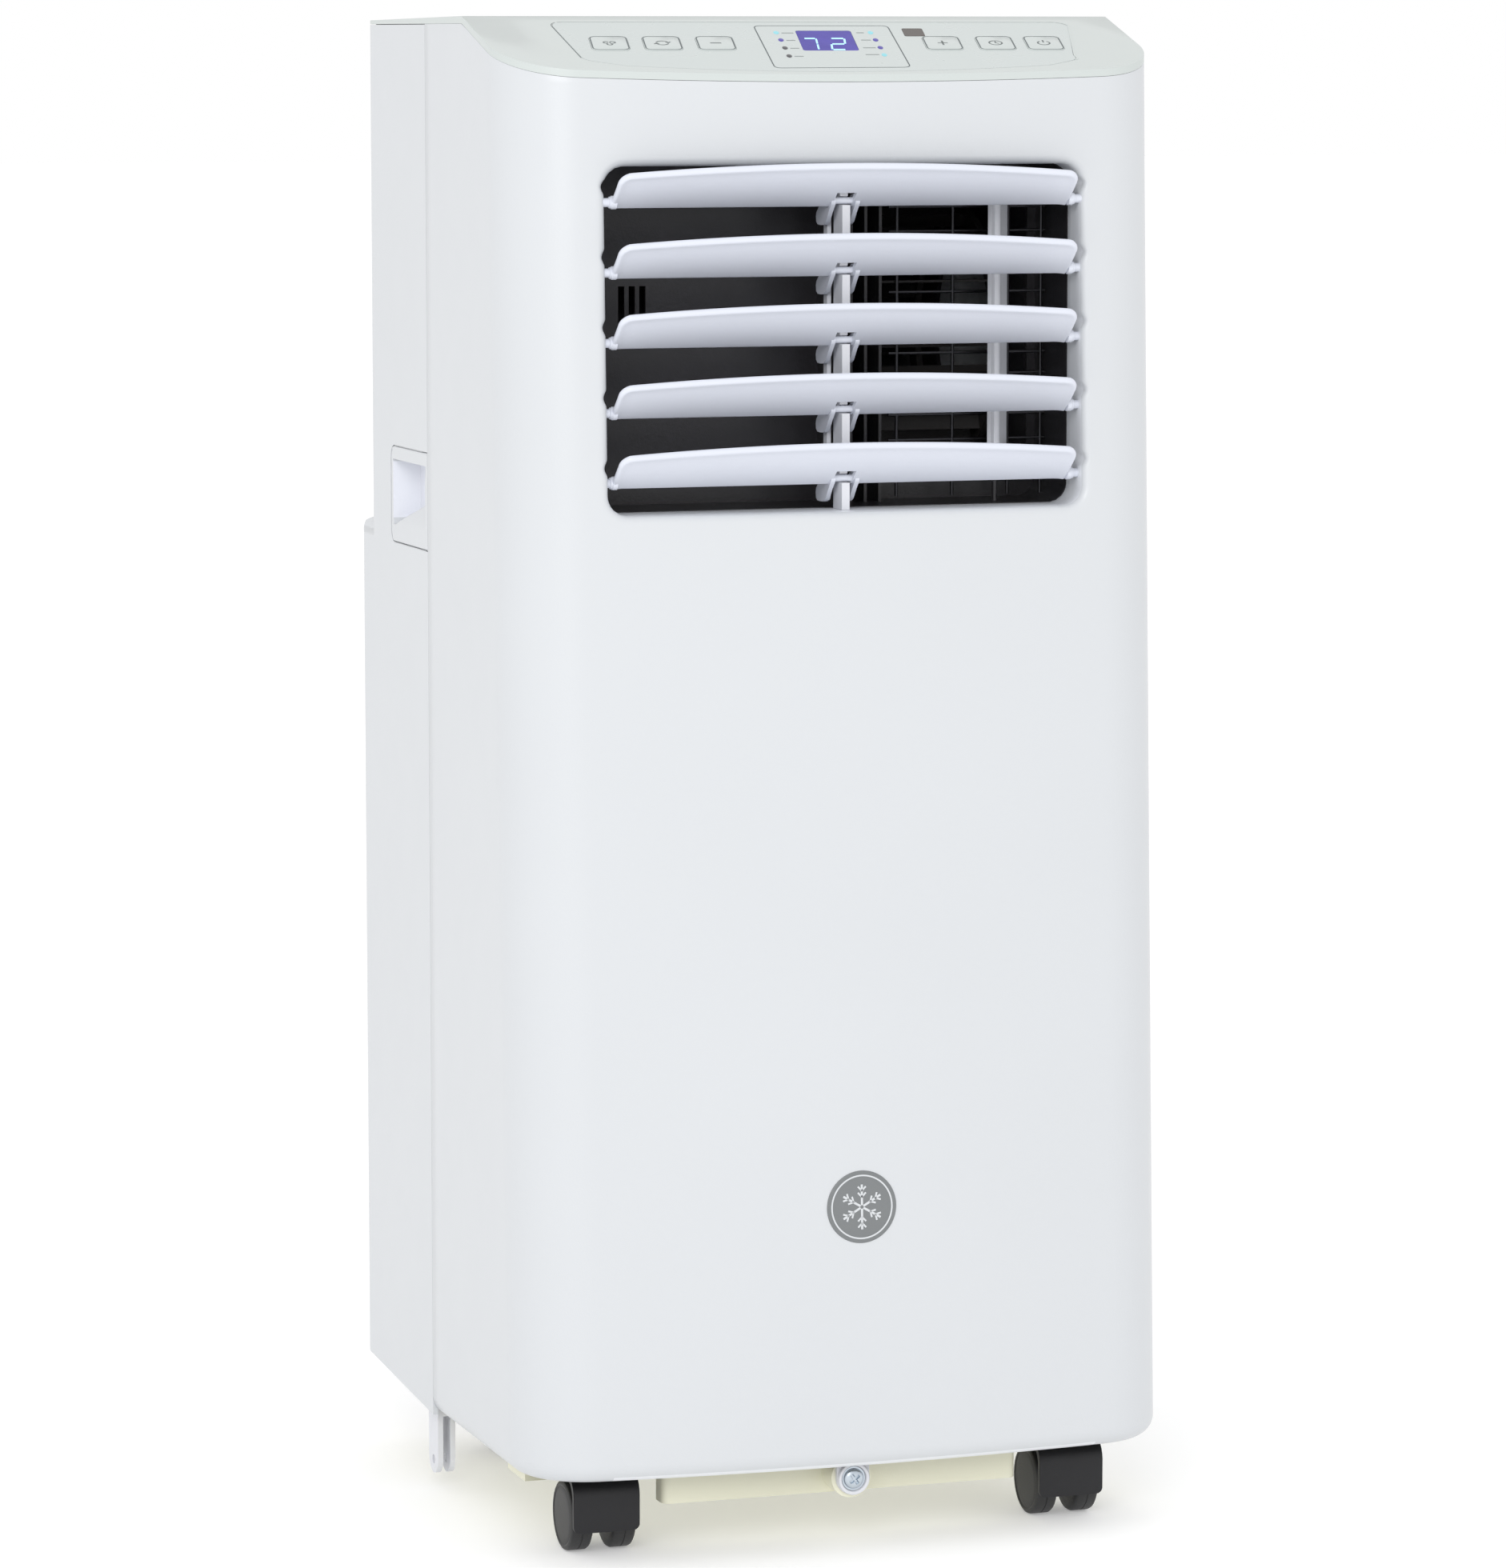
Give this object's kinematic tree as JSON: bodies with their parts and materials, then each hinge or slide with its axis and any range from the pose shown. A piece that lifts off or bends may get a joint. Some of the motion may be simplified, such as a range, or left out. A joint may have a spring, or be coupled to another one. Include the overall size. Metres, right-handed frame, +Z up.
{
  "type": "portable air conditioner",
  "caption": "Floor-standing portable air conditioner with front louvers, a sloping key panel, rear grilles, an exhaust port and swivel casters.",
  "frame": {"origin": "centre of the bounding box at floor level", "axes": "+Z up, the front with the louvers faces -Y, +X to the right of someone looking at the front"},
  "size_m": [0.31, 0.298, 0.692],
  "materials": {
    "body_white": "satin moulded plastic",
    "panel_white": "smooth printed overlay",
    "louver_white": "satin moulded plastic",
    "duct_black": "dark moulded plastic",
    "lcd": "lit display behind a clear window",
    "ir_smoke": "smoked window",
    "board_green": "lacquered circuit board",
    "badge_grey": "round badge with a raised ring",
    "steel_wire": "plain steel",
    "fin_aluminium": "stacked fins",
    "fan_plastic": "moulded fan wheel",
    "motor_paint": "black painted steel",
    "rubber_black": "soft black rubber",
    "copper": "bare copper tube",
    "pan_cream": "cream moulded plastic",
    "capacitor_aluminium": "drawn can",
    "filter_mesh": "open plastic mesh",
    "caster_grey": "dark grey moulded plastic"
  },
  "bodies": {
    "housing": {"front_shell": "body_white", "rear_shell": "body_white", "top_cover": "body_white", "control_overlay": "panel_white", "display_window": "lcd", "ir_window": "ir_smoke", "key_board": "board_green", "badge": "badge_grey", "louver_post": "louver_white", "outlet_duct": "duct_black", "wire_guard": "steel_wire", "evaporator": "fin_aluminium", "condenser": "fin_aluminium", "upper_motor": "motor_paint", "upper_scroll": "duct_black", "lower_motor": "motor_paint", "lower_scroll": "duct_black", "compressor": "motor_paint", "compressor_feet": "rubber_black", "refrigerant_pipes": "copper", "divider_tray": "duct_black", "base_pan": "pan_cream", "control_box": "duct_black", "run_capacitor": "capacitor_aluminium", "lower_grille": "body_white", "exhaust_collar": "body_white", "cord_gland": "rubber_black", "handle_left": "body_white", "handle_right": "body_white", "lug_bracket": "pan_cream", "shell_screws": "steel_wire", "caster_sockets": "steel_wire"},
    "louver_1": {"louver_1": "louver_white"},
    "louver_2": {"louver_2": "louver_white"},
    "louver_3": {"louver_3": "louver_white"},
    "louver_4": {"louver_4": "louver_white"},
    "louver_5": {"louver_5": "louver_white"},
    "link": {"louver_link": "louver_white"},
    "key_fan": {"button_fan": "panel_white"},
    "key_mode": {"button_mode": "panel_white"},
    "key_minus": {"button_minus": "panel_white"},
    "key_plus": {"button_plus": "panel_white"},
    "key_timer": {"button_timer": "panel_white"},
    "key_power": {"button_power": "panel_white"},
    "vane": {"guide_vane": "louver_white"},
    "upper_fan": {"upper_blower": "fan_plastic"},
    "lower_fan": {"lower_blower": "fan_plastic"},
    "door": {"filter_door": "body_white", "air_filter": "filter_mesh"},
    "plug_upper": {"drain_plug_upper": "rubber_black"},
    "plug_base": {"drain_plug_base": "rubber_black"},
    "swivel_1": {"caster_fork_1": "caster_grey"},
    "wheels_1": {"caster_wheels_1": "caster_grey"},
    "swivel_2": {"caster_fork_2": "caster_grey"},
    "wheels_2": {"caster_wheels_2": "caster_grey"},
    "swivel_3": {"caster_fork_3": "caster_grey"},
    "wheels_3": {"caster_wheels_3": "caster_grey"},
    "swivel_4": {"caster_fork_4": "caster_grey"},
    "wheels_4": {"caster_wheels_4": "caster_grey"}
  },
  "joints": [
    {"name": "louver_1_tilt", "type": "hinge", "parent": "housing", "child": "louver_1", "pos_m": [0, -0.118, 0.6102], "axis": [1, 0, 0], "range_deg": [-8, 40]},
    {"name": "louver_2_tilt", "type": "hinge", "parent": "housing", "child": "louver_2", "pos_m": [0, -0.118, 0.5792], "axis": [1, 0, 0], "range_deg": [-8, 40]},
    {"name": "louver_3_tilt", "type": "hinge", "parent": "housing", "child": "louver_3", "pos_m": [0, -0.118, 0.5482], "axis": [1, 0, 0], "range_deg": [-8, 40]},
    {"name": "louver_4_tilt", "type": "hinge", "parent": "housing", "child": "louver_4", "pos_m": [0, -0.118, 0.5172], "axis": [1, 0, 0], "range_deg": [-8, 40]},
    {"name": "louver_5_tilt", "type": "hinge", "parent": "housing", "child": "louver_5", "pos_m": [0, -0.118, 0.4862], "axis": [1, 0, 0], "range_deg": [-8, 40]},
    {"name": "link_pivot", "type": "hinge", "parent": "louver_1", "child": "link", "pos_m": [-0.00335, -0.105, 0.6017], "axis": [1, 0, 0], "range_deg": [-40, 8]},
    {"name": "press_fan", "type": "slide", "parent": "housing", "child": "key_fan", "axis": [0, 0.2924, -0.9563], "range_m": [0, 0.0008], "stiffness_N_per_m": 1500, "springref_m": -0.0004},
    {"name": "press_mode", "type": "slide", "parent": "housing", "child": "key_mode", "axis": [0, 0.2924, -0.9563], "range_m": [0, 0.0008], "stiffness_N_per_m": 1500, "springref_m": -0.0004},
    {"name": "press_minus", "type": "slide", "parent": "housing", "child": "key_minus", "axis": [0, 0.2924, -0.9563], "range_m": [0, 0.0008], "stiffness_N_per_m": 1500, "springref_m": -0.0004},
    {"name": "press_plus", "type": "slide", "parent": "housing", "child": "key_plus", "axis": [0, 0.2924, -0.9563], "range_m": [0, 0.0008], "stiffness_N_per_m": 1500, "springref_m": -0.0004},
    {"name": "press_timer", "type": "slide", "parent": "housing", "child": "key_timer", "axis": [0, 0.2924, -0.9563], "range_m": [0, 0.0008], "stiffness_N_per_m": 1500, "springref_m": -0.0004},
    {"name": "press_power", "type": "slide", "parent": "housing", "child": "key_power", "axis": [0, 0.2924, -0.9563], "range_m": [0, 0.0008], "stiffness_N_per_m": 1500, "springref_m": -0.0004},
    {"name": "vane_turn", "type": "hinge", "parent": "housing", "child": "vane", "pos_m": [0.082, -0.092, 0.549], "axis": [0, 0, 1], "range_deg": [-25, 25]},
    {"name": "upper_fan_spin", "type": "hinge", "parent": "housing", "child": "upper_fan", "pos_m": [0, 0.012, 0.545], "axis": [1, 0, 0], "continuous": true},
    {"name": "lower_fan_spin", "type": "hinge", "parent": "housing", "child": "lower_fan", "pos_m": [0.03, 0.042, 0.19], "axis": [0, 1, 0], "continuous": true},
    {"name": "filter_door_swing", "type": "hinge", "parent": "housing", "child": "door", "pos_m": [0, 0.127, 0.484], "axis": [-1, 0, 0], "range_deg": [0, 65]},
    {"name": "plug_upper_pull", "type": "slide", "parent": "housing", "child": "plug_upper", "axis": [0, 1, 0], "range_m": [0, 0.03]},
    {"name": "plug_base_pull", "type": "slide", "parent": "housing", "child": "plug_base", "axis": [0, 1, 0], "range_m": [0, 0.03]},
    {"name": "swivel_1_turn", "type": "hinge", "parent": "housing", "child": "swivel_1", "pos_m": [-0.1124, -0.1035, 0.04], "axis": [0, 0, 1], "continuous": true},
    {"name": "wheels_1_roll", "type": "hinge", "parent": "swivel_1", "child": "wheels_1", "pos_m": [-0.1124, -0.0985, 0.016], "axis": [1, 0, 0], "continuous": true},
    {"name": "swivel_2_turn", "type": "hinge", "parent": "housing", "child": "swivel_2", "pos_m": [0.1124, -0.1035, 0.04], "axis": [0, 0, 1], "continuous": true},
    {"name": "wheels_2_roll", "type": "hinge", "parent": "swivel_2", "child": "wheels_2", "pos_m": [0.1124, -0.0985, 0.016], "axis": [1, 0, 0], "continuous": true},
    {"name": "swivel_3_turn", "type": "hinge", "parent": "housing", "child": "swivel_3", "pos_m": [-0.088, 0.1, 0.04], "axis": [0, 0, 1], "continuous": true},
    {"name": "wheels_3_roll", "type": "hinge", "parent": "swivel_3", "child": "wheels_3", "pos_m": [-0.088, 0.105, 0.016], "axis": [1, 0, 0], "continuous": true},
    {"name": "swivel_4_turn", "type": "hinge", "parent": "housing", "child": "swivel_4", "pos_m": [0.088, 0.1, 0.04], "axis": [0, 0, 1], "continuous": true},
    {"name": "wheels_4_roll", "type": "hinge", "parent": "swivel_4", "child": "wheels_4", "pos_m": [0.088, 0.105, 0.016], "axis": [1, 0, 0], "continuous": true}
  ],
  "couplings": [
    {"joint": "louver_2_tilt", "follows": "louver_1_tilt", "ratio": 1},
    {"joint": "louver_3_tilt", "follows": "louver_1_tilt", "ratio": 1},
    {"joint": "louver_4_tilt", "follows": "louver_1_tilt", "ratio": 1},
    {"joint": "louver_5_tilt", "follows": "louver_1_tilt", "ratio": 1},
    {"joint": "link_pivot", "follows": "louver_1_tilt", "ratio": -1}
  ]
}
